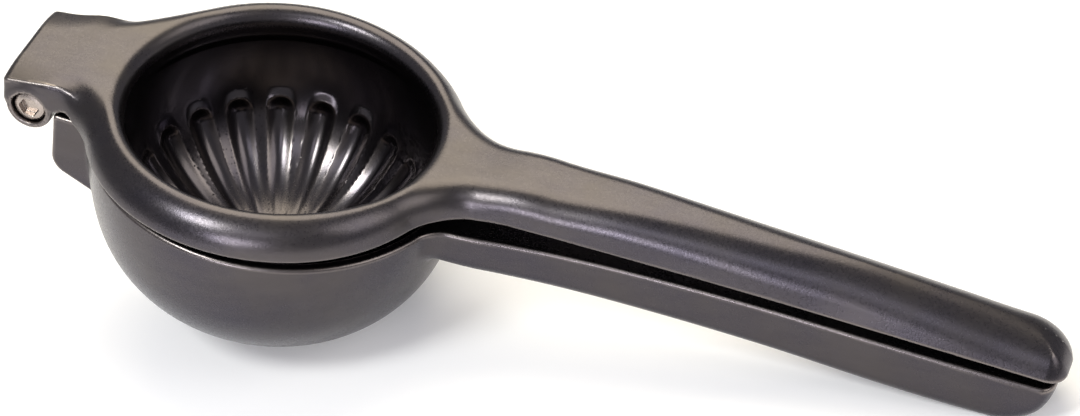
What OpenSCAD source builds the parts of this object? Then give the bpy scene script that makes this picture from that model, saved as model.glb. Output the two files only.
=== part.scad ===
// Hinged lemon squeezer. Two cast arms turn on one pin: the bowl arm holds half a lemon over its
// drain holes, and the press arm folds its fluted cup down into the bowl.
//
// Both arms are drawn in the bowl's frame: the origin is the centre of the bowl's rim, +X runs
// along the handles and +Z up out of the bowl. The whole squeezer is then laid down the way it
// rests on a table, on the bowl's rounded base and on the end of the lower handle.

/* [Bowl] */
// Outer radius of the bowl at its rim
bowl_r = 37.5; // [36:0.1:40]
// Depth of the bowl, from its rim to its flat base
bowl_depth = 36.4; // [35.5:0.1:38]
// Wall of the bowl
bowl_wall = 2.4; // [2:0.1:2.8]
// Radius of the arc that makes the bowl's side
bowl_side_r = 65; // [60:1:75]
// Radius of the arc that turns the side into the flat base
bowl_corner_r = 27.7; // [26.5:0.1:28.5]
// Diameter of a drain hole
drain_d = 4.4; // [3:0.1:5.5]
// Distance from one ring of drain holes to the next
drain_pitch = 8.2; // [7:0.1:9]
// Rings of drain holes around the middle one
drain_rings = 2; // [1:1:2]

/* [Press cup] */
// Room between the press cup's wall and the bowl's wall, at the rim
cup_room = 2.4; // [2.1:0.1:4]
// Wall of the press cup
cup_wall = 2.1; // [1.8:0.1:2.3]
// Number of flutes around the cup
flutes = 20; // [16:1:22]
// Radius of a flute's round section
flute_r = 2.1; // [1.6:0.1:2.4]
// How deep a flute is pressed into the cup's wall
flute_depth = 1.2; // [0.8:0.1:1.3]
// Angle below the cup's rim where the flutes begin
flute_top_angle = 30; // [20:1:36]
// Angle below the cup's rim where the flutes run out
flute_end_angle = 60; // [50:1:62]

/* [Ring] */
// How far the ring stands out past the bowl's rim
ring_lap = 0.7; // [0:0.1:3.5]
// Height of the ring
ring_h = 7.1; // [6:0.1:9]

/* [Hinge] */
// Distance from the bowl's rim out to the hinge pin
hinge_arm = 10.9; // [10.3:0.1:14]
// How far the pin's axis lies below the bowl's rim
hinge_drop = 0.6; // [0.4:0.1:1.2]
// Width of the hinge, across both ears
hinge_w = 24.4; // [22:0.2:26]
// Radius of an ear round the pin
ear_r = 4.9; // [4.8:0.1:5.2]
// How far the lug above the ears reaches past the pin's axis
lug_reach = 5.3; // [5:0.1:5.6]
// Width of the knuckle between the ears
knuckle_w = 10.4; // [9:0.1:12]
// Radius of the knuckle
knuckle_r = 4; // [3.8:0.1:4.1]
// Gap between the knuckle and the slot it turns in
knuckle_gap = 0.3; // [0.25:0.05:0.4]
// Height of the lug above the pin's axis, at the hinge's end
lug_end_h = 6.9; // [6.5:0.1:7.1]
// Height of the lug above the pin's axis, where it meets the ring
lug_root_h = 7.6; // [7.2:0.1:7.7]
// Depth of the hinge block below the pin's axis, at its outer face
block_depth = 12.2; // [10:0.2:13]

/* [Hinge pin] */
// Radius of the threaded sleeve, which is the pin that the hinge turns on
sleeve_r = 2.5; // [2.3:0.1:2.7]
// Radius of the heads of the sleeve and of its screw
head_r = 3.4; // [3.2:0.1:3.6]
// Thickness of a head
head_t = 1.5; // [1.2:0.1:1.8]
// Radius of the screw's shank
screw_r = 1.5; // [1.3:0.1:1.6]
// Width of the hexagon sockets across their flats
socket_w = 3; // [2.5:0.1:3.2]
// Depth of the hexagon sockets
socket_depth = 1.1; // [0.8:0.1:1.1]
// Running clearance of the pin in its bores, on the radius
pin_clearance = 0.04; // [0.02:0.01:0.08]

/* [Handles] */
// Length from the middle of the bowl to the tip of the lower handle
lower_reach = 158; // [145:0.5:175]
// Length from the middle of the bowl to the tip of the upper handle
upper_reach = 159; // [146:0.5:178]
// Half the width of either handle
handle_half_w = 8.4; // [7.5:0.1:9.5]
// Radius of the hollow curve from the ring into the upper handle
upper_root_r = 10; // [8:0.5:16]
// Radius of the hollow curve from the bowl into the lower handle
lower_root_r = 5; // [4:0.5:20]
// Angle of the lower handle's top face above the rim
lower_rise = 2.7; // [1.5:0.1:3]
// Depth of the lower handle at its root
lower_depth = 9; // [8:0.1:10]
// Angle at which the lower handle grows deeper towards its tip
lower_taper = 1.1; // [0.5:0.1:1.6]
// Radius of the lower handle's bottom edges
lower_edge_r = 3.2; // [2:0.1:4]
// Angle at which the upper handle's flat underside falls towards its tip
upper_fall = 1.35; // [1:0.05:1.6]
// Height of the upper handle's crest above its flat underside
upper_h = 8.1; // [7:0.1:9]
// Angle at which the front part of the crest falls towards the tip
crest_fall = 3.1; // [2:0.1:4]
// Angle that the arms stand open at rest
rest_gap_angle = 2.4; // [2.2:0.1:3]

/* [Hidden] */
$fn = 96;
GUNMETAL = "#56524f";
BRIGHT_STEEL = "#c9c3bd";
eps = 0.01;

// Bowl: the side arc's centre lies on the rim plane, so the side leaves the rim upright. The corner
// arc takes over at turn_angle below that plane and runs into the flat base.
side_cx = bowl_r - bowl_side_r;
corner_cz = bowl_corner_r - bowl_depth;
arc_step = bowl_side_r - bowl_corner_r;
corner_cx = side_cx + sqrt(arc_step ^ 2 - corner_cz ^ 2);
turn_angle = asin(-corner_cz / arc_step);
drain_ring_holes = 6;
cavity_top = 1.5;

// Ring: its section is a quarter round, whose centre stands just outside the cup's lip.
ring_r = bowl_r + ring_lap;
ring_round_cx = ring_r - ring_h;
lip_r = 0.7;

// Press cup: its size follows from the bowl it folds into.
cup_r = bowl_r - bowl_wall - cup_room - cup_wall;

// Flutes: each follows a meridian of the cup's half sphere.
flute_cr = cup_r + flute_depth - flute_r;
rib_r = flute_r + cup_wall - 0.3;
bar_end_extra = 0.02;
seam_turn = 180 / flutes;

// Hinge
hinge_x = bowl_r + hinge_arm;
pin_x = -hinge_x;
pin_z = -hinge_drop;
slot_w = knuckle_w + 2 * knuckle_gap;
slot_r = knuckle_r + knuckle_gap;
slot_mouth_z = 3;
web_top_z = -0.2;
lug_root_x = 8;
lug_end_round = 1.6;
lug_edge_h = 5.4;
lug_edge_rise = 8;
lug_bevel = 23;
lug_web_r = 10;
lug_web_h = 6;
relief_x = 8.3;
relief_r = 2.2;
relief_drop = 0.3;
block_gap = 0.3;
block_top_z = -0.4;
block_corner_r = 2.5;
block_slant = 22;
counterbore_r = head_r + 0.2;
counterbore_t = head_t + 0.3;

// Handles
handle_root_x = bowl_r - 1.5;
lower_root_z = 0.1;
upper_root_z = 1.8;
lower_tip_r = 14;
upper_tip_r = 7;
lower_corner_r = 3.4;
upper_corner_r = 7;
crown_edge_z = 4.2;
crown_sag = upper_h - crown_edge_z;
crown_r = (handle_half_w ^ 2 + crown_sag ^ 2) / (2 * crown_sag);
crest_bend_x = 104;
upper_web_h = 3.6;
lower_web_depth = 7;
lower_len = (lower_reach - handle_root_x) / cos(lower_rise);
upper_len = (upper_reach - handle_root_x) / cos(upper_fall);
bottom_slope_len = lower_len - lower_tip_r;

// Rest: the line that touches the bowl's corner arc and the lower handle's rounded tip lies level.
tip_bottom = lower_depth + bottom_slope_len * tan(lower_taper);
tip_cx = handle_root_x + bottom_slope_len * cos(lower_rise) + (tip_bottom - lower_tip_r) * sin(lower_rise);
tip_cz = lower_root_z + bottom_slope_len * sin(lower_rise) - (tip_bottom - lower_tip_r) * cos(lower_rise);
foot_dx = tip_cx - corner_cx;
foot_dz = tip_cz - corner_cz;
foot_span = sqrt(foot_dx ^ 2 + foot_dz ^ 2);
rest_tilt = atan2(foot_dz, foot_dx) + asin((bowl_corner_r - lower_tip_r) / foot_span);
rest_lift = bowl_corner_r + corner_cx * sin(rest_tilt) - corner_cz * cos(rest_tilt);

// The middle of the resting squeezer, halfway from the lug's end to the upper handle's tip
upper_tilt = rest_tilt - rest_gap_angle;
pin_rest_x = pin_x * cos(rest_tilt) + pin_z * sin(rest_tilt);
upper_tip_cx = upper_reach - upper_tip_r - pin_x;
upper_tip_cz = upper_root_z - (upper_len - upper_tip_r) * sin(upper_fall) - pin_z;
tip_rest_x = pin_rest_x + upper_tip_cx * cos(upper_tilt) + upper_tip_cz * sin(upper_tilt) + upper_tip_r;
rest_mid_x = (pin_rest_x - lug_reach * cos(upper_tilt) + tip_rest_x) / 2;

// Lays the bowl's frame down on the table
module resting() {
    translate([-rest_mid_x, 0, rest_lift]) rotate([0, rest_tilt, 0]) children();
}

// Turns the press arm about the pin to where it rests
module folded() {
    resting() translate([pin_x, 0, pin_z]) rotate([0, -rest_gap_angle, 0]) translate([-pin_x, 0, -pin_z]) children();
}

// A cylinder along Y, centred on the XZ plane
module cross_cylinder(r, w) {
    rotate([90, 0, 0]) cylinder(r = r, h = w, center = true);
}

// An outline drawn in X and Z, made as wide as w along Y
module cross_extrude(w) {
    rotate([90, 0, 0]) linear_extrude(w, center = true) children();
}

// The waste outside a round corner of radius r, whose sides run along +X and +Y
module corner_waste(r) {
    difference() {
        translate([-1, -1]) square(r + 1);
        translate([r, r]) circle(r);
    }
}

// Plan of the hollow curves between a disc of radius r and a bar of half width w along +X
module root_web(r, w, hollow_r) {
    centre = [sqrt((r + hollow_r) ^ 2 - (w + hollow_r) ^ 2), w + hollow_r];
    touch = centre * r / (r + hollow_r);
    for (side = [0, 1]) mirror([0, side]) difference() {
        polygon([[0, 0], touch, centre, [centre.x, w], [centre.x, -eps], [0, -eps]]);
        translate(centre) circle(hollow_r);
    }
}

// Plan of a handle of length reach, with corners of radius r at its tip
module handle_plan(reach, r) {
    difference() {
        translate([0, -handle_half_w]) square([reach, 2 * handle_half_w]);
        for (side = [0, 1]) mirror([0, side]) translate([reach, -handle_half_w]) mirror([1, 0]) corner_waste(r);
    }
}

// Points of an arc about [cx, cz], from angle a0 to a1 in n steps
function arc(cx, cz, r, a0, a1, n) =
    [for (i = [0:n]) let (a = a0 + (a1 - a0) * i / n) [cx + r * cos(a), cz + r * sin(a)]];

// The bowl's form, taken in from its outside by inset, its side carried on up to the height top
module bowl_form(inset, top) {
    side = arc(side_cx, 0, bowl_side_r - inset, 0, -turn_angle, 8);
    corner = arc(corner_cx, corner_cz, bowl_corner_r - inset, -turn_angle - 3, -90, 20);
    rim = top > 0 ? [[0, top], [bowl_r - inset, top]] : [[0, 0]];
    rotate_extrude() polygon(concat(rim, side, corner, [[0, inset - bowl_depth]]));
}

module drain_holes() {
    for (ring = [0:drain_rings], i = [0:max(1, ring * drain_ring_holes) - 1])
        rotate([0, 0, i * 360 / max(1, ring * drain_ring_holes)])
            translate([ring * drain_pitch, 0, -bowl_depth - 1])
                cylinder(d = drain_d, h = bowl_depth * 0.6);
}

// The block that carries the knuckle, outside the bowl and under the ears
module hinge_block() {
    face_x = pin_x + ear_r + block_gap;
    foot_z = pin_z - block_depth;
    inner_x = -bowl_r / 2;
    run = inner_x - face_x;
    cross_extrude(hinge_w) difference() {
        polygon([[face_x, block_top_z], [face_x, foot_z], [inner_x, foot_z - run * tan(block_slant)],
            [inner_x, block_top_z]]);
        translate([face_x, foot_z]) rotate(-block_slant / 2) corner_waste(block_corner_r);
    }
}

module knuckle() {
    translate([pin_x, 0, pin_z]) cross_cylinder(knuckle_r, knuckle_w);
    translate([pin_x, -knuckle_w / 2, pin_z - knuckle_r])
        cube([ear_r + 2, knuckle_w, knuckle_r + web_top_z]);
}

module lower_handle() {
    translate([handle_root_x, 0, lower_root_z]) rotate([0, -lower_rise, 0]) intersection() {
        translate([0, 0, -2 * lower_depth]) linear_extrude(2 * lower_depth) handle_plan(lower_len, lower_corner_r);
        rotate([0, lower_taper, 0]) translate([-1, 0, -lower_depth]) rotate([90, 0, 90])
            linear_extrude(lower_len + 2) difference() {
                translate([-handle_half_w, 0]) square([2 * handle_half_w, 2 * lower_depth]);
                for (side = [0, 1]) mirror([side, 0]) translate([-handle_half_w, 0])
                    corner_waste(lower_edge_r);
            }
        cross_extrude(3 * handle_half_w) difference() {
            translate([0, -2 * lower_depth]) square([lower_len, 2 * lower_depth]);
            translate([lower_len, -tip_bottom]) mirror([1, 0]) {
                corner_waste(lower_tip_r);
                translate([-1, -lower_depth]) square([lower_tip_r + 1, lower_depth]);
            }
        }
    }
    translate([0, 0, -lower_web_depth]) linear_extrude(lower_web_depth) root_web(bowl_r - eps, handle_half_w, lower_root_r);
}

// Lower casting: perforated bowl, lower handle, hinge block and knuckle
module bowl_arm() {
    color(GUNMETAL) resting() difference() {
        union() {
            bowl_form(0, 0);
            lower_handle();
            hinge_block();
            knuckle();
        }
        bowl_form(bowl_wall, cavity_top);
        drain_holes();
        translate([pin_x, 0, pin_z]) cross_cylinder(sleeve_r + pin_clearance, hinge_w);
    }
}

// One round-ended bar that follows a meridian of the cup, its ends a hair fuller than the bar
module meridian_bar(r) {
    rotate([90, flute_top_angle, 0]) rotate_extrude(angle = -(flute_end_angle - flute_top_angle))
        translate([flute_cr, 0]) circle(r, $fn = 32);
    for (a = [flute_top_angle, flute_end_angle])
        translate([flute_cr * cos(a), 0, -flute_cr * sin(a)]) sphere(r + bar_end_extra, $fn = 32);
}

module flute_set(r) {
    for (i = [0:flutes - 1]) rotate([0, 0, (i + 0.5) * 360 / flutes]) meridian_bar(r);
}

module ring() {
    rotate_extrude() difference() {
        intersection() {
            translate([ring_round_cx, 0]) circle(ring_h);
            square([ring_r, ring_h]);
            translate([cup_r - eps, 0]) square([ring_r, ring_h]);
        }
        translate([cup_r, ring_h]) mirror([0, 1]) corner_waste(lip_r);
    }
}

// The cup's half-sphere shell below the ring, with ribs outside and flutes inside
module press_cup() {
    outer_r = cup_r + cup_wall;
    difference() {
        union() {
            difference() {
                sphere(outer_r);
                translate([-outer_r, -outer_r, 0]) cube(2 * outer_r);
            }
            flute_set(rib_r);
            cylinder(r = outer_r, h = ring_h / 2);
        }
        sphere(cup_r);
        cylinder(r = cup_r, h = ring_h);
        flute_set(flute_r);
    }
}

// Side view of the bridge that rises from the ears' upper half to the ring
module bridge_side() {
    translate([pin_x, pin_z]) difference() {
        polygon([[-lug_reach, 0], [-lug_reach, lug_end_h], [lug_root_x, lug_root_h],
            [hinge_x - cup_r, lug_root_h], [hinge_x - cup_r, -pin_z], [0, -pin_z]]);
        translate([-lug_reach, lug_end_h]) mirror([0, 1]) corner_waste(lug_end_round);
    }
}

// The waste above one bevelled long edge of the lug, seen from the pin
module lug_bevel_waste() {
    translate([-lug_reach, -hinge_w / 2, lug_edge_h]) rotate([0, -lug_edge_rise, 0]) rotate([lug_bevel, 0, 0])
        translate([-2, -hinge_w / 4, 0]) cube([lug_reach + lug_root_x + 2, hinge_w, ring_h]);
}

module lug() {
    translate([pin_x, 0, pin_z]) cross_cylinder(ear_r, hinge_w);
    cross_extrude(hinge_w) bridge_side();
    intersection() {
        cross_extrude(2 * hinge_w) bridge_side();
        linear_extrude(lug_web_h) mirror([1, 0]) root_web(ring_r - eps, hinge_w / 2, lug_web_r);
    }
}

// Crest of the upper handle: a round bar whose underside is cut off flat
module crown_bar(fall, at_x) {
    translate([at_x, 0, upper_h - crown_r]) rotate([0, fall, 0]) rotate([0, 90, 0])
        cylinder(r = crown_r, h = 2 * upper_len, center = true);
}

module upper_handle() {
    translate([handle_root_x, 0, upper_root_z]) rotate([0, upper_fall, 0]) intersection() {
        linear_extrude(2 * upper_h) handle_plan(upper_len, upper_corner_r);
        crown_bar(0, crest_bend_x - handle_root_x);
        crown_bar(crest_fall, crest_bend_x - handle_root_x);
        cross_extrude(3 * handle_half_w) difference() {
            square([upper_len, 2 * upper_h]);
            translate([upper_len, upper_tip_r]) mirror([1, 1]) {
                translate([-upper_tip_r, 0]) mirror([1, 0]) translate([-upper_tip_r, 0]) corner_waste(upper_tip_r);
            }
        }
    }
    linear_extrude(upper_web_h) root_web(ring_r - eps, handle_half_w, upper_root_r);
}

// Upper casting: ring, fluted press cup, upper handle and the two ears with their bridge
module press_arm() {
    color(GUNMETAL) folded() difference() {
        union() {
            ring();
            difference() {
                union() {
                    lug();
                    upper_handle();
                }
                translate([0, 0, -ring_h]) cylinder(r = cup_r + eps, h = 4 * ring_h);
            }
            rotate(seam_turn) press_cup();
        }
        translate([pin_x, 0, pin_z]) {
            for (side = [0, 1]) mirror([0, side, 0]) lug_bevel_waste();
            translate([relief_x, 0, -relief_drop]) cross_cylinder(relief_r, 2 * hinge_w);
            cross_cylinder(slot_r, slot_w);
            translate([-2 * ear_r, -slot_w / 2, -2 * ear_r]) cube([2 * ear_r, slot_w, 2 * ear_r + slot_mouth_z]);
            translate([0, -slot_w / 2, -2 * ear_r]) cube([ear_r + 1, slot_w, 2 * ear_r - pin_z]);
            cross_cylinder(sleeve_r + pin_clearance, 2 * hinge_w);
            for (side = [-1, 1]) translate([0, side * (hinge_w / 2 - counterbore_t / 2 + 0.5), 0])
                cross_cylinder(counterbore_r, counterbore_t + 1);
        }
    }
}

// A domed head with a hexagon socket, its flat seat on z = 0
module socket_head() {
    difference() {
        intersection() {
            cylinder(r = head_r, h = head_t);
            translate([0, 0, head_t - 2.2 * head_r]) sphere(2.2 * head_r);
        }
        translate([0, 0, head_t - socket_depth]) cylinder(d = socket_w / cos(30), h = 2 * socket_depth, $fn = 6);
    }
}

seat_y = hinge_w / 2 - counterbore_t;
thread_depth = 2 * seat_y - 4;

// Pin of the hinge: a headed sleeve, threaded from its far end
module hinge_sleeve() {
    color(BRIGHT_STEEL) folded() translate([pin_x, -seat_y, pin_z]) rotate([90, 0, 0]) {
        socket_head();
        difference() {
            translate([0, 0, -2 * seat_y + 0.3]) cylinder(r = sleeve_r, h = 2 * seat_y - 0.3);
            translate([0, 0, -2 * seat_y - 1]) cylinder(r = screw_r + pin_clearance, h = thread_depth + 1);
        }
    }
}

// Screw that closes the sleeve from the other ear
module hinge_screw() {
    color(BRIGHT_STEEL) folded() translate([pin_x, seat_y, pin_z]) rotate([-90, 0, 0]) {
        socket_head();
        translate([0, 0, -thread_depth + 1]) cylinder(r = screw_r, h = thread_depth - 1);
    }
}

bowl_arm();
press_arm();
hinge_sleeve();
hinge_screw();
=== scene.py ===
# %% [markdown]
# A hinged lemon squeezer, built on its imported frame. The two arms are dark steel castings with a
# satin blasted skin; the cup inside the ring is polished. One pin of bright steel joins the arms.
# The frame gives the bodies, the joint and the solid that each piece stands for. The two castings
# and the pin are made again here, because a casting has soft fillets that plain solids can't carry.

# %% Frame
import math

import bpy
import numpy as np
from mathutils import Matrix, Vector


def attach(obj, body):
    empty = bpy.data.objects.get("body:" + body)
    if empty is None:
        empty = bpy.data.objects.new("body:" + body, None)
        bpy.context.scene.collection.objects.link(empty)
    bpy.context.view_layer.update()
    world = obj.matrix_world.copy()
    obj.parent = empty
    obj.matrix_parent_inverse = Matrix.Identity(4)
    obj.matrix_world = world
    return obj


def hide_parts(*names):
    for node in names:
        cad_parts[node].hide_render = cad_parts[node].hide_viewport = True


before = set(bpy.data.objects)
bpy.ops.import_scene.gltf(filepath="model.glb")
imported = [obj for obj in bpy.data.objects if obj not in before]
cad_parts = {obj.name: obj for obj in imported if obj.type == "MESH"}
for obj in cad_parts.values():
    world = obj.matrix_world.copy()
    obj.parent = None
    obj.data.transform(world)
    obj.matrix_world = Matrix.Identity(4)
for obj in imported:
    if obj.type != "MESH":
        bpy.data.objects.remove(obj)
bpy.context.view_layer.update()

# %% [markdown]
# Each arm is easiest to describe in its own closed position: X runs from the hinge to the handle's
# tip, Y across, Z up from the plane where the bowl's rim lies, in millimetres. On the table the
# bowl arm leans by REST_TILT, until bowl and handle tip both touch it, and the press arm stands
# open by REST_GAP about the pin. The pin, taken through the same turn, has to land on the joint of
# the frame.

# %% The arms' own frame and the table's frame
MM = 0.001
PIN = (-48.4, -0.6)  # X and Z of the pin in the arms' own frame
REST_TILT, REST_GAP = 12.8693, 2.4  # degrees
REST_BACK, REST_LIFT = 52.0778, 38.1351  # the rim's middle lies this far towards -X, and this high


def turned(x, z, degrees):
    """The XZ pair turned about Y. A positive angle lowers +X."""
    c, s = math.cos(math.radians(degrees)), math.sin(math.radians(degrees))
    return x * c + z * s, z * c - x * s


def to_table(points, opened, direction=False):
    """Points or directions of an arm, in mm, in the table's frame."""
    p = np.array(points, float)
    x, z = p[:, 0], p[:, 2]
    if opened:
        px, pz = (0, 0) if direction else PIN
        x, z = turned(x - px, z - pz, -REST_GAP)
        x, z = x + px, z + pz
    x, z = turned(x, z, REST_TILT)
    if not direction:
        x, z = x - REST_BACK, z + REST_LIFT
    return np.stack([x, p[:, 1], z], -1)


pin_on_table = to_table([[PIN[0], 0, PIN[1]]], True)[0] * MM

# %% [markdown]
# A casting is one body with no seams, where every form runs into the next through a fillet. A
# polygon model would need each fillet laid by hand. A distance field gives them by rule: each
# form is a function that is negative inside, and two forms join or cut with a round of a chosen
# radius, as the pattern maker's wax does.

# %% Joining and cutting fields with a round
FAR = 99  # a distance that is outside every form


def joined(a, b, r):
    """Both forms, with a hollow fillet of radius r between them."""
    return np.maximum(r, np.minimum(a, b)) - np.hypot(np.maximum(r - a, 0), np.maximum(r - b, 0))


def common(a, b, r):
    """Where the forms overlap, with a rounded edge of radius r."""
    return np.minimum(-r, np.maximum(a, b)) + np.hypot(np.maximum(r + a, 0), np.maximum(r + b, 0))


def cut(a, b, r):
    """The first form without the second, its edge rounded by r."""
    return common(a, -b, r)


# Two walls that meet at a right angle, 1 mm inside each: the round takes nothing away yet.
print("field 1 mm inside a corner of radius 0.5:", common(-1.0, -1.0, 0.5))

# %% [markdown]
# A handle's width and height change along its length. Each is given at a few places, as on a
# maker's drawing, and a curve that keeps its slope at every place runs through them.

# %% Steps and curves
def blend(x, x0, x1):
    """A smooth step from 0 at x0 to 1 at x1."""
    t = np.clip((x - x0) / (x1 - x0), 0, 1)
    return t * t * (3 - 2 * t)


def along(x, *stops):
    """A smooth curve through (x, value) stops."""
    xs = np.array([s[0] for s in stops], float)
    ys = np.array([s[1] for s in stops], float)
    slopes = np.gradient(ys, xs)
    i = np.clip(np.searchsorted(xs, x) - 1, 0, len(xs) - 2)
    span = xs[i + 1] - xs[i]
    t = np.clip((x - xs[i]) / span, 0, 1)
    a, b = ys[i], ys[i + 1]
    ma, mb = slopes[i] * span, slopes[i + 1] * span
    return a + t * (ma + t * (3 * (b - a) - 2 * ma - mb + t * (2 * (a - b) + ma + mb)))


halfway = float(along(0.5, (0, 0), (1, 1), (2, 0)))
print("a curve through 0, 1 and 0 stands at", round(halfway, 3), "halfway to the 1")

# %% [markdown]
# To find its surface, the field is worked out on a grid. Most of the grid is far from the surface,
# so it is first tried once in each block of cells, and only the blocks near the surface are filled
# in. The slope of the field points straight out of the surface, and is its normal.

# %% The field on a grid
NEAR = 1.6  # in blocks; half a block's diagonal is 0.87, and a rounded field isn't quite a distance


def slope(field, p, step=0.03):
    """The field's slope at each point, from a small step to either side along each axis."""
    g = np.empty_like(p)
    for axis in range(3):
        a, b = p.copy(), p.copy()
        a[:, axis] += step
        b[:, axis] -= step
        g[:, axis] = (field(*a.T) - field(*b.T)) / (2 * step)
    return g


def spread(values, times):
    """Each value of a grid repeated to fill a block of cells."""
    for axis in range(3):
        values = np.repeat(values, times, axis)
    return values


def sampled(field, low, high, h, block=8):
    """The field on a grid of step h, exact near the surface and rough elsewhere."""
    blocks = np.ceil((np.array(high) - low) / (h * block)).astype(int)
    centres = [low[k] + (np.arange(blocks[k]) + 0.5) * block * h for k in range(3)]
    rough = field(*[c.ravel() for c in np.meshgrid(*centres, indexing="ij")]).reshape(blocks)
    near = np.abs(rough) < NEAR * block * h
    values = spread(rough, block)
    cells = np.argwhere(spread(near, block))
    p = np.array(low) + cells * h
    values[tuple(cells.T)] = field(*p.T)
    print("grid", values.shape, "of which", round(100 * near.mean(), 1), "% worked out")
    return values


# %% [markdown]
# The grid becomes a mesh by surface nets: one vertex in each cell that the surface crosses, at the
# middle of its crossings, and one quad for each grid edge that it crosses. That gives even quads
# on the round forms, where the cells of marching cubes would leave slivers.

# %% Surface nets: vertices
CORNERS = [(i, j, k) for i in (0, 1) for j in (0, 1) for k in (0, 1)]


def net_points(f, low, h):
    """A vertex in each cell that the surface crosses, and the number of each cell's vertex."""
    inside = f < 0
    shape = np.array(f.shape) - 1
    part = [inside[i:i + shape[0], j:j + shape[1], k:k + shape[2]] for i, j, k in CORNERS]
    count = sum(p.astype(np.int8) for p in part)
    cells = np.argwhere((count > 0) & (count < len(CORNERS)))
    number = np.full(shape, -1)
    number[tuple(cells.T)] = np.arange(len(cells))
    value = np.stack([f[tuple((cells + c).T)] for c in CORNERS], 1)
    total, weight = np.zeros((len(cells), 3)), np.zeros((len(cells), 1))
    for a in range(len(CORNERS)):
        for b in range(a + 1, len(CORNERS)):
            step = np.array(CORNERS[b]) - CORNERS[a]
            if np.abs(step).sum() != 1:
                continue
            crosses = (value[:, a] < 0) != (value[:, b] < 0)
            t = value[:, a] / np.where(crosses, value[:, a] - value[:, b], 1)
            total[crosses] += (np.array(CORNERS[a]) + t[:, None] * step)[crosses]
            weight[crosses] += 1
    return np.array(low) + (cells + total / weight) * h, number


# %% Surface nets: quads
def net_quads(inside, number):
    """A quad round each grid edge with one end inside, turned so that it faces outwards."""
    shape = number.shape
    quads = []
    for axis in range(3):
        lead = [slice(None)] * 3
        trail = [slice(None)] * 3
        lead[axis], trail[axis] = slice(1, None), slice(None, -1)
        change = inside[tuple(trail)].astype(np.int8) - inside[tuple(lead)]
        u, v = (axis + 1) % 3, (axis + 2) % 3
        for sign in (1, -1):
            edge = np.argwhere(change == sign)
            past_start = (edge[:, u] > 0) & (edge[:, v] > 0)
            edge = edge[past_start & (edge[:, u] < shape[u]) & (edge[:, v] < shape[v])]
            ring = []
            for du, dv in ((1, 1), (0, 1), (0, 0), (1, 0)):
                cell = edge.copy()
                cell[:, u] -= du
                cell[:, v] -= dv
                ring.append(number[tuple(cell.T)])
            ring = np.stack(ring, 1)
            quads.append(ring if sign == 1 else ring[:, ::-1])
    return np.concatenate(quads)


# %% [markdown]
# The net's vertices lie only near the surface. Each one slides along the slope onto the surface
# itself, a part of a cell at a time, and takes the slope there as its normal. So the highlights
# run over the fillets as on the real casting, though the mesh is coarser than they are.

# %% Surface nets: onto the surface
def settled(field, p, h):
    """The points moved onto the surface, and its normals there."""
    for _ in range(3):
        g = slope(field, p)
        size = (g * g).sum(1)
        move = -(field(*p.T) / np.maximum(size, 0.2))[:, None] * g
        p += move * np.minimum(1, 0.4 * h / np.maximum(np.linalg.norm(move, axis=1), 1e-9))[:, None]
    g = slope(field, p, 0.06)
    return p, g / np.maximum(np.linalg.norm(g, axis=1), 1e-9)[:, None]


def surface_net(field, low, high, h):
    """Vertices, quads and normals of the field's surface."""
    f = sampled(field, low, high, h)
    p, number = net_points(f, low, h)
    quads = net_quads(f < 0, number)
    p, normals = settled(field, p, h)
    return p, quads, normals


# %% [markdown]
# A finish can differ over one casting: outer edges are painted lighter, partly as wear and partly
# as a painted highlight along them, and the cup is polished. Two numbers at each vertex carry that
# to the material. "edge" grows where the surface bends outwards tighter than EDGE_FROM, which the
# field tells: the sum of its second slopes is the surface's bending.

# %% What a vertex tells the material
EDGE_FROM, EDGE_SPAN = 0.7, 0.9  # where edge wear and painted highlight start, and how much more bending makes them full; 1/mm


def bending(field, p, step=0.5):
    """How tightly the surface bends, in 1/mm: positive along an outer edge, negative in a hollow."""
    total = -6 * field(*p.T)
    for axis in range(3):
        for way in (-step, step):
            q = p.copy()
            q[:, axis] += way
            total += field(*q.T)
    return total / step ** 2


def paint(mesh, name, values):
    """One number at each vertex, which a material can read by name."""
    layer = mesh.attributes.new(name, "FLOAT", "POINT")
    layer.data.foreach_set("value", values.astype(np.float32))


# %% [markdown]
# Blender takes a mesh this large fastest as whole arrays: the vertices, the four corners of each
# quad, and where each quad starts. The normals go in last, once the faces shade smooth.

# %% From field to mesh object
GRID = 0.45


def mesh_piece(name, field, low, high, h, opened, polish=None):
    """A smooth mesh object of the field, in the table's frame."""
    p, quads, normals = surface_net(field, low, high, h)
    mesh = bpy.data.meshes.new(name)
    at = to_table(p, opened) * MM
    mesh.vertices.add(len(at))
    mesh.vertices.foreach_set("co", at.astype(np.float32).ravel())
    mesh.loops.add(4 * len(quads))
    mesh.loops.foreach_set("vertex_index", quads.astype(np.int32).ravel())
    mesh.polygons.add(len(quads))
    mesh.polygons.foreach_set("loop_start", np.arange(0, 4 * len(quads), 4, dtype=np.int32))
    mesh.update(calc_edges=True)
    mesh.validate()
    mesh.polygons.foreach_set("use_smooth", np.ones(len(mesh.polygons), bool))
    mesh.normals_split_custom_set_from_vertices(to_table(normals, opened, True).tolist())
    # The lighter edge colour, partly wear and partly a painted highlight, grows with outward bending.
    edge = np.clip((bending(field, p) - EDGE_FROM) / EDGE_SPAN, 0, 1)
    paint(mesh, "edge", edge)
    paint(mesh, "polish", polish(*p.T) if polish else np.zeros(len(p)))
    piece = bpy.data.objects.new(name, mesh)
    bpy.context.scene.collection.objects.link(piece)
    print(name, len(p), "vertices,", len(quads), "quads, worn", round(100 * edge.mean(), 1), "%")
    return piece


print("grid step", GRID, "mm")

# %% [markdown]
# Upper casting. Seen from above it is a ring with a handle on one side and a broad lug on the
# other, joined by hollow fillets. The outline is made first, as a flat field: it says how far any
# point of the plan is from the casting's edge, and the top is then raised over it.

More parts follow.
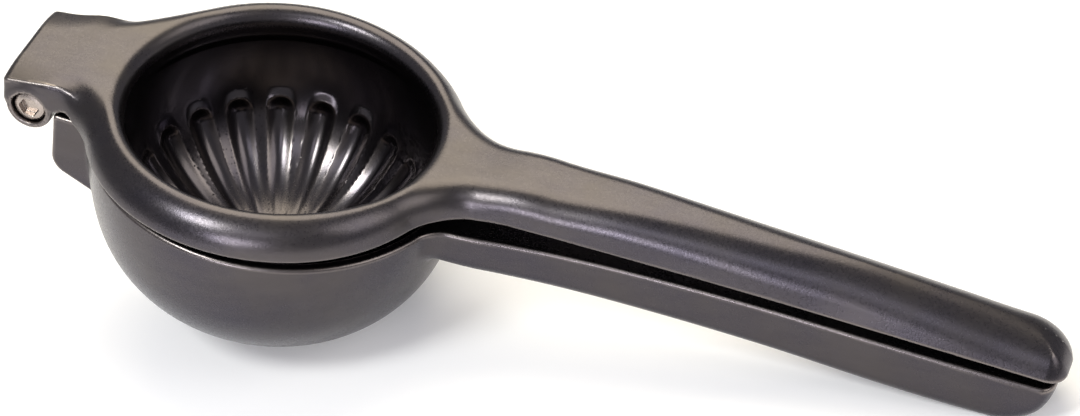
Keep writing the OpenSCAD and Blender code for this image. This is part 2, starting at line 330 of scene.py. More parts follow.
# %% Upper casting: plan
CUP_R = 30.6  # inside of the cup
RING_MIDDLE, RING_H = 31.1, 7.1  # where the ring's round starts, and its radius
LUG_HALF, LUG_END = 12.2, 54.0
TIP_X = 160.2
PRESS_TIP_CORNERS = (4.0, 10.0)  # front and back corner of the tip, seen from above
HANDLE_ROOT, ROOT_SWING = 8.8, 1.7  # fillet between ring and handle, larger at the back
LUG_ROOTS = (7.5, 14)  # fillets between ring and lug, front and back
PRESS_HALF = (
    (36, 10.4), (46, 10.1), (57, 9.6), (72, 9.1), (87, 8.7),
    (100, 8.5), (117, 8.4), (136, 8.4), (160, 8.4))
# The ring is a little fuller at the front and slimmer towards the handle: mm by degrees round it.
RING_FULLNESS = (
    (-180, 0), (-110, 0.35), (-80, 0.45), (-54, 0.4), (-40, 0), (-28, -0.5), (0, -0.8),
    (30, -1.0), (50, -1.1), (70, -0.8), (95, -0.3), (120, 0), (180, 0))


def ring_section(x, y):
    """Radius of the ring's quarter round in the direction of x, y."""
    return RING_H + along(np.degrees(np.arctan2(y, x)), *RING_FULLNESS)


def upper_plan(x, y):
    """Distance to the outline seen from above, and the ring's section there."""
    across = np.abs(y)
    section = ring_section(x, y)
    ring = np.hypot(x, y) - RING_MIDDLE - section
    tip_corner = np.where(y < 0, *PRESS_TIP_CORNERS)
    handle = np.where(x > 0, common(across - along(x, *PRESS_HALF), x - TIP_X, tip_corner), FAR)
    lug = np.where(x < 0, across - LUG_HALF, FAR)
    handle_root = HANDLE_ROOT + ROOT_SWING * np.tanh(y / 4)
    return joined(joined(ring, handle, handle_root), lug, np.where(y < 0, *LUG_ROOTS)), section


print("ring about", 2 * (RING_MIDDLE + RING_H), "mm across")

# %% [markdown]
# The top is one skin, moulded without a break. On the ring it is a quarter round over the distance
# from the outline. Along the handle it grows into a bar with a nearly flat crown, flanks that lean
# in so that the casting leaves its mould, and a shoulder between them that draws one long light.

# %% Upper casting: ring and handle from above
RING_TO_HANDLE = (33, 56)  # where the ring's section turns into the handle's
# Along X in mm: the crown's height, the flank's draft in degrees, the shoulder's radius, and half
# of the crown's bend across the handle, in 1/mm.
PRESS_CREST = (
    (36, 7.8), (46, 7.5), (57, 7.0), (72, 8.1), (87, 8.6),
    (100, 8.75), (117, 9.0), (136, 7.9), (148, 6.9), (160, 5.3))
PRESS_DRAFT = ((46, 12), (72, 12), (87, 15), (100, 18), (117, 24), (136, 26), (150, 26), (161, 12))
PRESS_SHOULDER = (
    (46, 4.0), (57, 4.0), (72, 4.5), (87, 5.0), (100, 5.2), (117, 5.2), (136, 5.0), (160, 4.5))
PRESS_BOW = (
    (46, 0.004), (57, 0.004), (72, 0.006), (87, 0.009), (100, 0.012), (117, 0.016), (160, 0.018))
UNDER_X, UNDER_Z, UNDER_FALL = 41.6, 1.6, 0.023  # where the handle's underside starts, and its slant


def press_underside(x, start, end):
    """The ring's underside is at 0, and the handle's rises to its slant between start and end."""
    return blend(x, start, end) * (UNDER_Z - UNDER_FALL * (x - UNDER_X))


def rolled_top(x, y, z):
    """The ring's quarter round, growing into the handle's bar; with the plan that it stands on."""
    plan, section = upper_plan(x, y)
    base = press_underside(x, *RING_TO_HANDLE)
    rolled = np.hypot(np.maximum(section + plan, 0), np.maximum(z, 0)) - section
    draft = np.radians(along(x, *PRESS_DRAFT))
    flank = plan * np.cos(draft) + (z - base) * np.sin(draft)
    crown = z - base - along(x, *PRESS_CREST) + along(x, *PRESS_BOW) * y * y
    bar = common(crown, flank, along(x, *PRESS_SHOULDER))
    return rolled + blend(x, *RING_TO_HANDLE) * (bar - rolled), plan


# %% [markdown]
# The lug is cast flat, for the ears that hold the pin. Its top has a narrow bevel along each side,
# and both the middle and the bevel's edge rise a little towards the ring.

# %% Upper casting: lug from above
LUG_FROM = -52.8  # the two heights are given here, and rise from here towards +X
BEVEL_Z, BEVEL_RISE, BEVEL = 5.45, 0.15, math.radians(19)
MIDDLE_Z, MIDDLE_RISE = 6.35, 0.06
RING_TO_LUG = (36, 45)  # towards -X
LUG_SIDE_ROUND, LUG_TOP_ROUND, LUG_END_ROUND = 0.6, 1.8, 1.3


def upper_top(x, y, z):
    rolled, plan = rolled_top(x, y, z)
    edge_z = BEVEL_Z + (x - LUG_FROM) * BEVEL_RISE
    middle_z = MIDDLE_Z + (x - LUG_FROM) * MIDDLE_RISE
    bevel = (z - edge_z) * math.cos(BEVEL) + plan * math.sin(BEVEL)
    flat = common(common(plan, bevel, LUG_SIDE_ROUND), z - middle_z, LUG_TOP_ROUND)
    return common(rolled + blend(-x, *RING_TO_LUG) * (flat - rolled), -LUG_END - x, LUG_END_ROUND)


lug_rise = math.degrees(math.atan(MIDDLE_RISE))
print("the lug's flat leans by", round(lug_rise, 1), "degrees")


# %% [markdown]
# The cup hangs from the ring as a half sphere. Twenty round grooves start below its lip and follow
# the meridians to the nose, narrowing as they crowd together. Folding the angle about the axis
# into one sector draws all of them from one. Ribs on the outside back the grooves.

# %% Upper casting: cup and grooves
FLUTES = 20
GROOVE_TOP, GROOVE_TURN = math.radians(30.0), math.radians(2.9)  # start below the rim; turn of the set
GROOVE_HALF, GROOVE_DEEP = 2.35, 1.45
HALF_POWER, DEEP_POWER = 0.85, 0.6  # how fast width and depth shrink as the grooves crowd
NOSE = 1.5  # radians below the rim; from here on the grooves get no narrower
CUP_WALL, RIB_H = 2.1, 0.9
RIB_WIDER, RIB_MORE = 1.25, 0.3  # half a rib's width is so many times the groove's, and a little more
RIB_STARTS, RIB_ENDS = (0.36, 0.56), (1.3, 1.5)  # radians below the rim


def cup_parts(x, y, z):
    """The fields of the cup's outside with its ribs, of its hollow, and of the grooves in it."""
    rho = np.hypot(x, y)
    sector = 2 * math.pi / FLUTES
    phi = np.arctan2(y, x)
    phi = phi - GROOVE_TURN - sector * np.round((phi - GROOVE_TURN) / sector)
    out, off = rho * np.cos(phi), rho * np.sin(phi)
    far = np.sqrt(rho * rho + z * z)
    dip = np.arctan2(-z, np.maximum(out, 1e-3))
    at = np.maximum(dip, GROOVE_TOP)
    crowd = np.cos(np.minimum(at, NOSE)) / math.cos(GROOVE_TOP)
    half = GROOVE_HALF * crowd ** HALF_POWER
    deep = GROOVE_DEEP * crowd ** DEEP_POWER
    tube = (half * half + deep * deep) / (2 * deep)
    middle = CUP_R + deep - tube
    cx, cz = middle * np.cos(at), -middle * np.sin(at)
    groove = np.sqrt((out - cx) ** 2 + (z - cz) ** 2 + off ** 2) - tube
    hollow = np.where(z > 0, rho, far) - CUP_R
    swell = blend(-np.abs(off), -RIB_WIDER * half - RIB_MORE, 0)
    swell = swell * blend(dip, *RIB_STARTS) * (1 - blend(dip, *RIB_ENDS))
    outer = np.where(z > 0, rho, far) - (CUP_R + CUP_WALL) - RIB_H * swell
    return outer, hollow, groove


groove_pitch = 2 * math.pi * CUP_R * math.cos(GROOVE_TOP) / FLUTES
print(FLUTES, "grooves,", round(groove_pitch, 2), "mm apart at their tops")

# %% [markdown]
# The lug ends in two ears with the pin between them, and a slot that the lower arm's knuckle turns
# in. Everything round the pin is measured from the pin, so the joint stays free as it opens.

# %% Upper casting: ears and slot
EAR_R, SLOT_R, SLOT_HALF = 4.85, 4.3, 5.5
SLOT_UP, SLOT_IN = 3, 5.9  # how far the slot goes above the pin, and from the pin to the ring
RELIEF_X, RELIEF_Z, RELIEF_R = 8.3, -0.3, 2.2  # round notch by the ring; its middle from the pin
END_X, END_TOP = -LUG_END + 0.4, 2  # the square end stops just short of the lug's, and up in it
BORE_R, SINK_R = 2.6, 3.6  # the pin's bore, and the sinks for its two heads
SEAT = 10.4  # how far out from the middle the sinks start
EAR_ROUND, END_ROUND, TIGHT_ROUND = 0.6, 0.8, 0.3
EAR_FILLET, SLOT_ROUND, SINK_ROUND = 1.2, 0.4, 0.35


def from_pin(x, z):
    return np.hypot(x - PIN[0], z - PIN[1])


def with_ears(body, x, y, z):
    """The casting with its two ears and the square end above them."""
    inside_lug = np.abs(y) - LUG_HALF
    ear = common(from_pin(x, z) - EAR_R, inside_lug, EAR_ROUND)
    above_pin = np.maximum(np.maximum(x - PIN[0], PIN[1] - z), z - END_TOP)
    end = common(common(inside_lug, END_X - x, END_ROUND), above_pin, TIGHT_ROUND)
    return joined(joined(body, ear, EAR_FILLET), end, TIGHT_ROUND)


def with_slot(body, x, y, z):
    """The casting with room for the knuckle, and the pin's sinks and bore."""
    across, pin_r = np.abs(y), from_pin(x, z)
    relief = np.hypot(x - PIN[0] - RELIEF_X, z - PIN[1] - RELIEF_Z) - RELIEF_R
    body = cut(body, relief, SLOT_ROUND)
    slot = np.minimum(pin_r - SLOT_R, np.maximum(x - PIN[0], z - PIN[1] - SLOT_UP))
    slot = np.minimum(slot, np.maximum(np.maximum(PIN[0] - x, x - PIN[0] - SLOT_IN), z))
    body = cut(body, np.maximum(slot, across - SLOT_HALF), SLOT_ROUND)
    body = cut(body, np.maximum(pin_r - SINK_R, SEAT - across), SINK_ROUND)
    return np.maximum(body, BORE_R - pin_r)


# %% [markdown]
# The casting is put together in the order of a mould: the top skin, its flat underside, the ears,
# the cup, and then what cores and tools take out. The cup's lip gets the largest round of all. The
# cup was polished after casting, down from the lip, and less towards the nose.

# %% Upper casting: the whole
LIP = 3.5  # round of the cup's lip
CUP_TOP = 3  # the cup's outside ends this high, inside the ring
RING_TO_UNDERSIDE = (36, 52)  # where the ring's flat underside turns into the handle's
UNDER_ROUND, CUP_FILLET, GROOVE_ROUND = 0.8, 1.0, 0.9
POLISH_OVER_LIP, POLISH_IN_GROOVE = 0.3, 1.75  # how far past the lip's round and the cup's wall
POLISH_FROM = (2.8, 5.6)  # mm below the ring's top, from none to full
POLISH_LOST, POLISH_FADE = 0.6, (0.55, 1.1)  # share lost at the nose; radians below the rim
PRESS_LOW, PRESS_HIGH = (-55.5, -40.0, -35.0), (161.5, 40.0, 12.5)


def press_arm(x, y, z):
    body = upper_top(x, y, z)
    body = common(body, press_underside(x, *RING_TO_UNDERSIDE) - z, UNDER_ROUND)
    body = with_ears(body, x, y, z)
    outer, hollow, groove = cup_parts(x, y, z)
    body = joined(body, np.maximum(outer, z - CUP_TOP), CUP_FILLET)
    body = cut(body, hollow, LIP)
    body = cut(body, groove, GROOVE_ROUND)
    return with_slot(body, x, y, z)


def cup_polish(x, y, z):
    """1 on the cup's polished wall, fading out over the lip and towards the satin nose."""
    rho, far = np.hypot(x, y), np.sqrt(x * x + y * y + z * z)
    inside = np.where(z > 0, rho < CUP_R + LIP + POLISH_OVER_LIP, far < CUP_R + POLISH_IN_GROOVE)
    dip = np.arctan2(-z, np.maximum(rho, 1e-3))
    return inside * blend(RING_H - z, *POLISH_FROM) * (1 - POLISH_LOST * blend(dip, *POLISH_FADE))


press = mesh_piece("press_arm_casting", press_arm, PRESS_LOW, PRESS_HIGH, GRID, True, cup_polish)

# %% [markdown]
# Lower casting. The bowl is deep, with a nearly upright side that runs into a smaller round below
# it and a flat foot to stand on. Two arcs and the line of the foot, turned about Z, give the
# outside; the inside is the same form, one wall further in. Drain holes stand in two rings about a
# middle one.

# %% Lower casting: bowl and drain holes
BOWL_R, BOWL_DEPTH, BOWL_WALL = 37.5, 36.4, 2.4
SIDE_R, CORNER_R = 65.0, 27.7
SIDE_X = BOWL_R - SIDE_R
CORNER_Z = CORNER_R - BOWL_DEPTH
CORNER_X = SIDE_X + math.sqrt((SIDE_R - CORNER_R) ** 2 - CORNER_Z ** 2)
DRAIN_R, DRAIN_PITCH, DRAIN_RINGS = 2.2, 8.2, (1, 2)


def bowl_outside(x, y, z):
    rho = np.hypot(x, y)
    side = np.hypot(rho - SIDE_X, z) - SIDE_R
    corner = np.hypot(rho - CORNER_X, z - CORNER_Z) - CORNER_R
    on_side = (z - CORNER_Z) * (CORNER_X - SIDE_X) > (rho - CORNER_X) * CORNER_Z
    d = np.where(on_side, side, corner)
    d = np.where((rho < CORNER_X) & (z < CORNER_Z), -BOWL_DEPTH - z, d)
    return np.where(z > 0, rho - BOWL_R, d)


def drain_holes(x, y):
    rho, phi = np.hypot(x, y), np.arctan2(y, x)
    d = rho - DRAIN_R
    for ring in DRAIN_RINGS:
        sector = math.pi / (3 * ring)
        a = phi - sector * np.round(phi / sector)
        d = np.minimum(d, np.hypot(rho * np.cos(a) - ring * DRAIN_PITCH, rho * np.sin(a)) - DRAIN_R)
    return d


print("flat foot", round(2 * CORNER_X, 1), "mm across;", 1 + 6 * sum(DRAIN_RINGS), "drain holes")

# %% [markdown]
# The lower handle is a deep bar close under the upper one, and its top rises slightly towards the
# tip. It narrows from the bowl to its middle and widens again for the hand, and its tip turns up in
# a large round.

# %% Lower casting: handle
BOWL_HALF = (
    (36, 11.2), (44, 10.6), (50, 9.7), (59, 8.6), (68, 7.9),
    (80, 7.4), (100, 7.2), (125, 7.9), (146, 8.4), (160, 8.4))
BOWL_DEEP = ((36, 8.5), (50, 9.1), (65, 9.6), (104, 10.7), (136, 11.5), (150, 11.3), (160, 11.0))
BOWL_TIP_X, BOWL_TIP_CORNERS, BOWL_TIP_UNDER = 159.5, (4.0, 8.0), 12
HANDLE_FROM, HANDLE_EDGE = 15, 3.3  # it starts well inside the bowl's wall; round of its long edges
TOPSIDE_X, TOPSIDE_Z, TOPSIDE_RISE = 38, 0.2, 0.048  # where its top starts, and its slant


def bowl_topside(x):
    """The height of the lower handle's top, on its slight slant."""
    return TOPSIDE_Z + TOPSIDE_RISE * (x - TOPSIDE_X)


def lower_handle(x, y, z):
    under = common(bowl_topside(x) - along(x, *BOWL_DEEP) - z, x - BOWL_TIP_X, BOWL_TIP_UNDER)
    under = np.maximum(under, HANDLE_FROM - x)
    tip_corner = np.where(y < 0, *BOWL_TIP_CORNERS)
    plan = common(np.abs(y) - along(x, *BOWL_HALF), x - BOWL_TIP_X, tip_corner)
    return common(plan, under, HANDLE_EDGE)


print("handle", round(float(along(150, *BOWL_DEEP)), 1), "mm deep and",
      round(2 * float(along(150, *BOWL_HALF)), 1), "mm wide at the hand")


# %% [markdown]
# At the hinge a block hangs down the bowl's side, slanted underneath, and carries the knuckle that
# the pin runs through. The knuckle is a little narrower than the slot between the ears.

# %% Lower casting: hinge block and knuckle
KNUCKLE_R, KNUCKLE_HALF = 4, 5.2
BLOCK_X, BLOCK_FOOT, BLOCK_SLANT = PIN[0] + 5.2, PIN[1] - 12.6, math.radians(22)
BLOCK_END, BLOCK_TOP = -18, -0.4
WEB_REACH, WEB_TOP = 7, -0.2  # the web joins knuckle and block
BLOCK_HEEL, BLOCK_ROUND, BLOCK_TOP_ROUND, KNUCKLE_ROUND = 2.6, 0.8, 0.7, 0.4


def hinge_block(x, y, z):
    foot = (BLOCK_FOOT - z) * math.cos(BLOCK_SLANT) - (x - BLOCK_X) * math.sin(BLOCK_SLANT)
    block = common(common(BLOCK_X - x, foot, BLOCK_HEEL), np.abs(y) - LUG_HALF, BLOCK_ROUND)
    return common(np.maximum(block, x - BLOCK_END), z - BLOCK_TOP, BLOCK_TOP_ROUND)


def knuckle(x, y, z):
    length = np.maximum(PIN[0] - x, x - PIN[0] - WEB_REACH)
    web = np.maximum(length, np.maximum(z - WEB_TOP, PIN[1] - KNUCKLE_R - z))
    side = np.abs(y) - KNUCKLE_HALF
    return common(np.minimum(from_pin(x, z) - KNUCKLE_R, web), side, KNUCKLE_ROUND)


print("the knuckle has", round(SLOT_HALF - KNUCKLE_HALF, 2), "mm to each ear")

# %% [markdown]
# Handle and bowl meet with a broad fillet at the sides and a tight corner underneath. The hollow
# and the drain holes are cut last, so that no fillet fills them.

# %% Lower casting: the whole
ROOT_UNDER, ROOT_MORE, ROOT_TURN = 1.5, 1.8, (-8.6, -4.5)  # fillet below, what is added above, where
DRAIN_TOP = -14
RIM_ROUND, BLOCK_FILLET, HOLLOW_ROUND, DRAIN_ROUND = 0.9, 1.4, 0.6, 0.5
BOWL_LOW, BOWL_HIGH = (-54.5, -39.5, -38.5), (161.0, 39.5, 8.5)


def bowl_arm(x, y, z):
    outside = bowl_outside(x, y, z)
    root = ROOT_UNDER + ROOT_MORE * blend(z, *ROOT_TURN)
    body = joined(outside, lower_handle(x, y, z), root)
    body = common(body, z - np.maximum(0, bowl_topside(x)), RIM_ROUND)
    body = joined(body, hinge_block(x, y, z), BLOCK_FILLET)
    body = np.minimum(body, knuckle(x, y, z))
    body = cut(body, outside + BOWL_WALL, HOLLOW_ROUND)
    body = cut(body, np.maximum(drain_holes(x, y), z - DRAIN_TOP), DRAIN_ROUND)
    return np.maximum(body, BORE_R - from_pin(x, z))


bowl = mesh_piece("bowl_arm_casting", bowl_arm, BOWL_LOW, BOWL_HIGH, GRID, False)

# %% [markdown]
# The pin shows as two round heads in their sinks. Each head is turned from bright steel, its face
# slightly domed, its rim rounded, with a hexagon socket pressed into it. The barrel runs through
# the knuckle between them, one half with each head.

# %% Pin
HEAD_R, HEAD_T, BARREL_R = 3.5, 1.8, 2.5
SOCKET_HALF, SOCKET_DEEP = 1.85, 1.5
DOME_R = 2.2 * HEAD_R
RIM_OF_HEAD, BACK_OF_HEAD, SOCKET_EDGE = 0.55, 0.15, 0.16  # rounds
BARREL_IN, BARREL_GAP = 0.5, 0.02  # into the head, and short of the other half
COS_30 = 0.866
PIN_GRID = 0.16


def pin_head(side):
    """The field of one head, its barrel half and its socket, on the side -1 or 1 of the hinge."""
    def field(x, y, z):
        u, w, v = x - PIN[0], z - PIN[1], side * y - SEAT
        r = np.hypot(u, w)
        dome = np.sqrt(u * u + w * w + (v - HEAD_T + DOME_R) ** 2) - DOME_R
        head = common(common(r - HEAD_R, dome, RIM_OF_HEAD), -v, BACK_OF_HEAD)
        barrel = np.maximum(np.maximum(r - BARREL_R, v - BARREL_IN), -SEAT + BARREL_GAP - v)
        slants = np.maximum(np.abs(COS_30 * u + 0.5 * w), np.abs(COS_30 * u - 0.5 * w))
        hexagon = np.maximum(np.abs(w), slants)
        socket = np.maximum(hexagon - SOCKET_HALF, HEAD_T - SOCKET_DEEP - v)
        return cut(np.minimum(head, barrel), socket, SOCKET_EDGE)
    return field


def make_head(name, side):
    room = HEAD_R + 0.3
    low_y, high_y = sorted((-0.3 * side, side * (SEAT + HEAD_T + 0.4)))
    low = (PIN[0] - room, low_y, PIN[1] - room)
    high = (PIN[0] + room, high_y, PIN[1] + room)
    return mesh_piece(name, pin_head(side), low, high, PIN_GRID, True)


sleeve = make_head("pin_sleeve", -1)
screw = make_head("pin_screw", 1)

# %% [markdown]
# Finishes. A material is a chain of nodes that ends in a surface shader. Colours are written as
# they look on a screen and turned into the linear values that the renderer adds up. A pattern's
# scale is how many times it repeats in a metre, so it is worked out from a size in millimetres.

# %% Nodes, colours and scales
def linear(colour):
    """'#rrggbb' as linear RGBA."""
    parts = [int(colour[i:i + 2], 16) / 255 for i in (1, 3, 5)]
    return [p / 12.92 if p <= 0.04045 else ((p + 0.055) / 1.055) ** 2.4 for p in parts] + [1]


def per_metre(size):
    """The scale of a pattern whose spots are that many mm wide."""
    return 1 / (size * MM)


def feed(tree, node, inputs):
    """Fills inputs: another node's output is linked, and anything else is a fixed value."""
    for socket, value in inputs.items():
        if isinstance(value, bpy.types.NodeSocket):
            tree.links.new(value, node.inputs[socket])
        else:
            node.inputs[socket].default_value = value
    return node


def add(tree, kind, inputs, **settings):
    """A new node with its settings and its inputs filled."""
    node = tree.nodes.new(kind)
    for key, value in settings.items():
        setattr(node, key, value)
    return feed(tree, node, inputs)


def new_material(name):
    """A material with nodes, its tree, and the surface shader at the end of it."""
    material = bpy.data.materials.new(name)
    material.use_nodes = True
    return material, material.node_tree, material.node_tree.nodes["Principled BSDF"]


# A Mix node has several inputs called A and B, so they go by their places.
NUMBER_A, NUMBER_B, NUMBER_OUT = 2, 3, 0
COLOUR_A, COLOUR_B, COLOUR_OUT = 6, 7, 2
print("mid grey #808080 is", round(linear("#808080")[0], 3), "linear")

# %% [markdown]
# Blasted cast steel, dark from its oxide. Shot leaves a fine, even dapple over the whole skin,
# which spreads each reflection into a soft satin band. Years of use make it slightly glossier in
# patches, with a trace of brown oxide between them, and wiping leaves faint lighter streaks along
# the handles. Outer edges are painted lighter, partly as wear and partly as a painted highlight,
# and the cup's wall is polished, so there the dapple and the satin fade. Real dapple is about 0.1 mm
# wide, too fine for the picture, and is drawn several times coarser so that it shows.

# %% Blasted casting
DAPPLE, PATCH, WIPE = 0.4545, 20.833, 3.846  # widths in mm
WIPE_STRETCH = (0.22, 1.0, 1.0)  # wiping runs along the handles
POLISHED = 0.19  # roughness of the cup's wall
# The last colour is the lighter one of outer edges: partly wear, partly a painted highlight.
COOL_OXIDE, BROWN_OXIDE, WIPED, WORN_AND_HIGHLIT = "#48454c", "#4f4b4c", "#5d595a", "#7f7876"


def cast_steel():
    material, tree, shader = new_material("blasted_cast_steel")
    place = add(tree, "ShaderNodeTexCoord", {}).outputs["Object"]
    edge = add(tree, "ShaderNodeAttribute", {}, attribute_name="edge").outputs["Fac"]
    polish = add(tree, "ShaderNodeAttribute", {}, attribute_name="polish").outputs["Fac"]
    dapple = add(tree, "ShaderNodeTexNoise", {
        "Vector": place, "Scale": per_metre(DAPPLE), "Detail": 2, "Roughness": 0.6}).outputs["Fac"]
    patches = add(tree, "ShaderNodeTexNoise", {
        "Vector": place, "Scale": per_metre(PATCH), "Detail": 5, "Roughness": 0.6}).outputs["Fac"]
    drawn = add(tree, "ShaderNodeMapping", {"Vector": place, "Scale": WIPE_STRETCH}).outputs[0]
    wipes = add(tree, "ShaderNodeTexNoise", {
        "Vector": drawn, "Scale": per_metre(WIPE), "Detail": 4, "Roughness": 0.65}).outputs["Fac"]

    tone = add(tree, "ShaderNodeMapRange", {
        "Value": patches, "From Min": 0.35, "From Max": 0.65}).outputs[0]
    oxide = add(tree, "ShaderNodeMix", {
        "Factor": tone, COLOUR_A: linear(COOL_OXIDE), COLOUR_B: linear(BROWN_OXIDE)},
        data_type="RGBA").outputs[COLOUR_OUT]
    streaks = add(tree, "ShaderNodeMapRange", {
        "Value": wipes, "From Min": 0.3, "From Max": 0.7, "To Min": 0.0, "To Max": 0.3}).outputs[0]
    wiped = add(tree, "ShaderNodeMix", {
        "Factor": streaks, COLOUR_A: oxide, COLOUR_B: linear(WIPED)},
        data_type="RGBA").outputs[COLOUR_OUT]
    # Outer edges are mixed towards that lighter colour, partly wear and partly a painted highlight.
    worn_and_highlit = add(tree, "ShaderNodeMix", {
        "Factor": edge, COLOUR_A: wiped, COLOUR_B: linear(WORN_AND_HIGHLIT)},
        data_type="RGBA").outputs[COLOUR_OUT]

    satin = add(tree, "ShaderNodeMapRange", {
        "Value": patches, "From Min": 0.3, "From Max": 0.7, "To Min": 0.27, "To Max": 0.34}).outputs[0]
    grain = add(tree, "ShaderNodeMapRange", {
        "Value": dapple, "From Min": 0.3, "From Max": 0.7, "To Min": -0.05, "To Max": 0.05}).outputs[0]
    satin = add(tree, "ShaderNodeMath", {0: satin, 1: grain}, operation="ADD").outputs[0]
    rough = add(tree, "ShaderNodeMix", {
        "Factor": polish, NUMBER_A: satin, NUMBER_B: POLISHED}).outputs[NUMBER_OUT]
    depth = add(tree, "ShaderNodeMapRange", {
        "Value": polish, "To Min": 0.22, "To Max": 0.03}).outputs[0]
    bump = add(tree, "ShaderNodeBump", {
        "Height": dapple, "Strength": depth, "Distance": 0.08 * MM}).outputs[0]
    feed(tree, shader, {"Base Color": worn_and_highlit, "Metallic": 1.0, "Roughness": rough, "Normal": bump})
    return material


# %% [markdown]
# Turned bright steel, bare and slightly warm. The tool leaves it smooth, so it shows small sharp
# lights beside the soft bands of the castings. Handling dulls it in spots about two thirds of a
# millimetre wide.

# %% Turned steel, and the finishes on their pieces
DULL_SPOT = 0.6667


def turned_steel():
    material, tree, shader = new_material("turned_bright_steel")
    place = add(tree, "ShaderNodeTexCoord", {}).outputs["Object"]
    marks = add(tree, "ShaderNodeTexNoise", {
        "Vector": place, "Scale": per_metre(DULL_SPOT), "Detail": 2, "Roughness": 0.6}).outputs["Fac"]
    rough = add(tree, "ShaderNodeMapRange", {
        "Value": marks, "From Min": 0.3, "From Max": 0.7, "To Min": 0.22, "To Max": 0.36}).outputs[0]
    feed(tree, shader, {"Base Color": linear("#a69c96"), "Metallic": 1.0, "Roughness": rough})
    return material


casting, bright = cast_steel(), turned_steel()
for piece, finish in ((press, casting), (bowl, casting), (sleeve, bright), (screw, bright)):
    piece.data.materials.append(finish)
    print(piece.name, "in", finish.name)

# %% [markdown]
# The stage is a pale, matt table top that takes the object's soft shadow. What the camera and the
# metal see of it is lifted a little, so that it reads as white without more light on the object.

# %% Floor
FLOOR_HALF, FLOOR_LIFT = 3.0, 0.2


def floor():
    corners = [(x * FLOOR_HALF, y * FLOOR_HALF, 0) for x, y in ((-1, -1), (1, -1), (1, 1), (-1, 1))]
    mesh = bpy.data.meshes.new("floor")
    mesh.from_pydata(corners, [], [(0, 1, 2, 3)])
    table = bpy.data.objects.new("floor", mesh)
    bpy.context.scene.collection.objects.link(table)
    material, tree, shader = new_material("pale_table_top")
    path = add(tree, "ShaderNodeLightPath", {}).outputs
    seen = add(tree, "ShaderNodeMath", {
        0: path["Is Camera Ray"], 1: path["Is Glossy Ray"]}, operation="MAXIMUM").outputs[0]
    seen = add(tree, "ShaderNodeMath", {
        0: seen, 1: path["Is Transmission Ray"]}, operation="MAXIMUM").outputs[0]
    lift = add(tree, "ShaderNodeMath", {0: seen, 1: FLOOR_LIFT}, operation="MULTIPLY").outputs[0]
    feed(tree, shader, {
        "Base Color": linear("#ededf0"), "Roughness": 1.0, "Specular IOR Level": 0.0,
        "Emission Color": linear("#ffffff"), "Emission Strength": lift})
    table.data.materials.append(material)
    return table


floor()

# %% [markdown]
# Satin metal shows each lamp as a soft band, so every lamp is there for the band that it draws. A
# warm softbox behind lights the tops. One window gives the bright spot on the ring, a lower one
# the streak along the upper handle, and a third, far and faint, fills the handle between them. A
# side softbox catches the bowl's flank. The walls of the room are a plain mid grey.

# %% Lamps
def softbox(name, azimuth, elevation, away, size, radiance, colour):
    """A flat lamp, seen from the table's middle at that azimuth, from -Y towards +X, and elevation.
    A lamp spreads its watts over its face, so they grow with the face to keep the same radiance."""
    a, e = math.radians(azimuth), math.radians(elevation)
    to_lamp = Vector((math.sin(a) * math.cos(e), -math.cos(a) * math.cos(e), math.sin(e)))
    lamp = bpy.data.lights.new(name, "AREA")
    lamp.shape = "RECTANGLE"
    lamp.size, lamp.size_y = size
    lamp.energy = radiance * math.pi * size[0] * size[1]
    lamp.color = linear(colour)[:3]
    piece = bpy.data.objects.new(name, lamp)
    piece.location = to_lamp * away
    piece.rotation_euler = to_lamp.to_track_quat("Z", "Y").to_euler()
    bpy.context.scene.collection.objects.link(piece)
    print(name, round(lamp.energy, 2), "W")
    return piece


softbox("back_softbox", -163, 60, 0.56, (0.42, 0.56), 4.0, "#fff6dc")
softbox("window_left", -26, 50, 0.67, (0.17, 0.16), 27.0, "#fbfdf8")
softbox("window_low", -6, 20, 0.46, (0.15, 0.10), 12.0, "#f8f6ff")
softbox("window_right", 12, 46, 0.95, (0.26, 0.22), 1.9, "#f4f4ff")
softbox("side_softbox", 88, 38, 0.9, (0.55, 0.45), 2.4, "#fffaf2")


# %% Walls
def studio_walls():
    world = bpy.data.worlds.new("studio")
    bpy.context.scene.world = world
    world.use_nodes = True
    tree = world.node_tree
    place = add(tree, "ShaderNodeTexCoord", {}).outputs["Generated"]
    height = add(tree, "ShaderNodeSeparateXYZ", {0: place}).outputs["Z"]
    shade = add(tree, "ShaderNodeValToRGB", {0: height})
    feed(tree, tree.nodes["Background"], {"Color": shade.outputs["Color"]})
    stops = shade.color_ramp.elements
    stops[0].position, stops[0].color = 0.0, linear("#a8a7aa")
    stops[1].position, stops[1].color = 0.45, linear("#9a999c")


studio_walls()

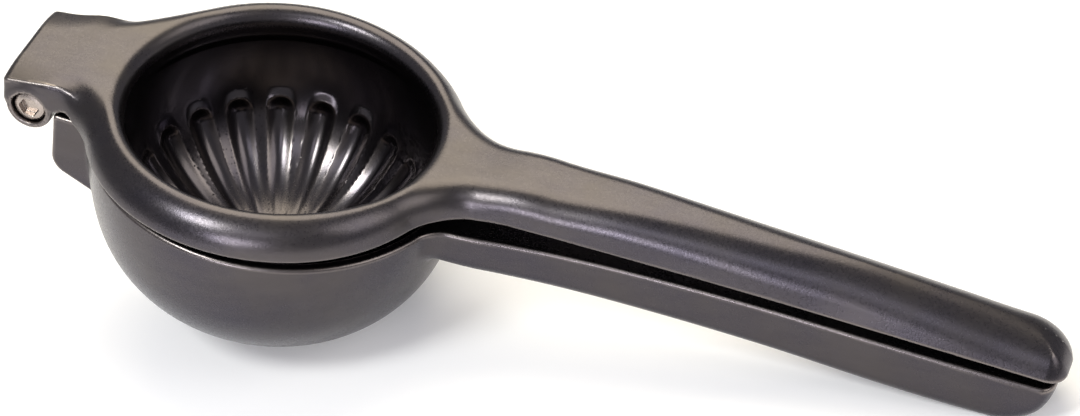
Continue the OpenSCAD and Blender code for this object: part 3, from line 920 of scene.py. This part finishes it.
# %% [markdown]
# The camera stands in front of the arms and above them, a little towards the tips, about three
# quarters of a metre away. Its place is given as for a turntable about the middle of the bowl's
# rim: round, up, and how far. The turntable leans slightly about Y, and the camera is then moved
# sideways and upwards across its own view. The three axes of the view become the columns of its
# matrix.

# %% Camera
AZIMUTH, ELEVATION, LEAN = 18.97, 38.664, 5.8623
DISTANCE, SIDEWAYS, UPWARDS = 736.41, 51.04, -12.81
SENSOR, PICTURE_W, FOCAL = 36, 1080, 3751.4  # the sensor in mm, the other two in pixels


def aim_camera():
    az, el = math.radians(AZIMUTH), math.radians(ELEVATION)
    right = (math.cos(az), math.sin(az), 0)
    up = (-math.sin(az) * math.sin(el), math.cos(az) * math.sin(el), math.cos(el))
    back = (math.sin(az) * math.cos(el), -math.cos(az) * math.cos(el), math.sin(el))
    axes = np.array([right, up, back])
    x, z = turned(axes[:, 0], axes[:, 2], LEAN)
    axes = np.stack([x, axes[:, 1], z], -1)
    eye = SIDEWAYS * axes[0] + UPWARDS * axes[1] + DISTANCE * axes[2]
    origin = to_table([[0, 0, 0]], False)[0]
    data = bpy.data.cameras.new("camera")
    data.sensor_width, data.lens = SENSOR, SENSOR * FOCAL / PICTURE_W
    data.clip_start, data.clip_end = 0.05, 20
    camera = bpy.data.objects.new("camera", data)
    columns = np.eye(4)
    columns[:3, :3] = axes.T
    columns[:3, 3] = (origin + eye) * MM
    camera.matrix_world = Matrix(columns.tolist())
    bpy.context.scene.collection.objects.link(camera)
    bpy.context.scene.camera = camera
    print("camera at", np.round((origin + eye) * MM, 3), "m, lens", round(data.lens, 1), "mm")


aim_camera()
bpy.context.scene.view_settings.view_transform = "Standard"

# %% [markdown]
# Each piece now rides on the body that it moves with, and the solid of the frame that it stands
# for is hidden. Both halves of the pin turn with the press arm's ears.

# %% Onto the bodies
for piece, body, node, slot in (
        (press, "press_lever", "press_arm", "casting"),
        (bowl, "bowl_lever", "bowl_arm", "casting"),
        (sleeve, "press_lever", "hinge_sleeve", "pin_steel"),
        (screw, "press_lever", "hinge_screw", "pin_steel")):
    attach(piece, body)
    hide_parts(node)
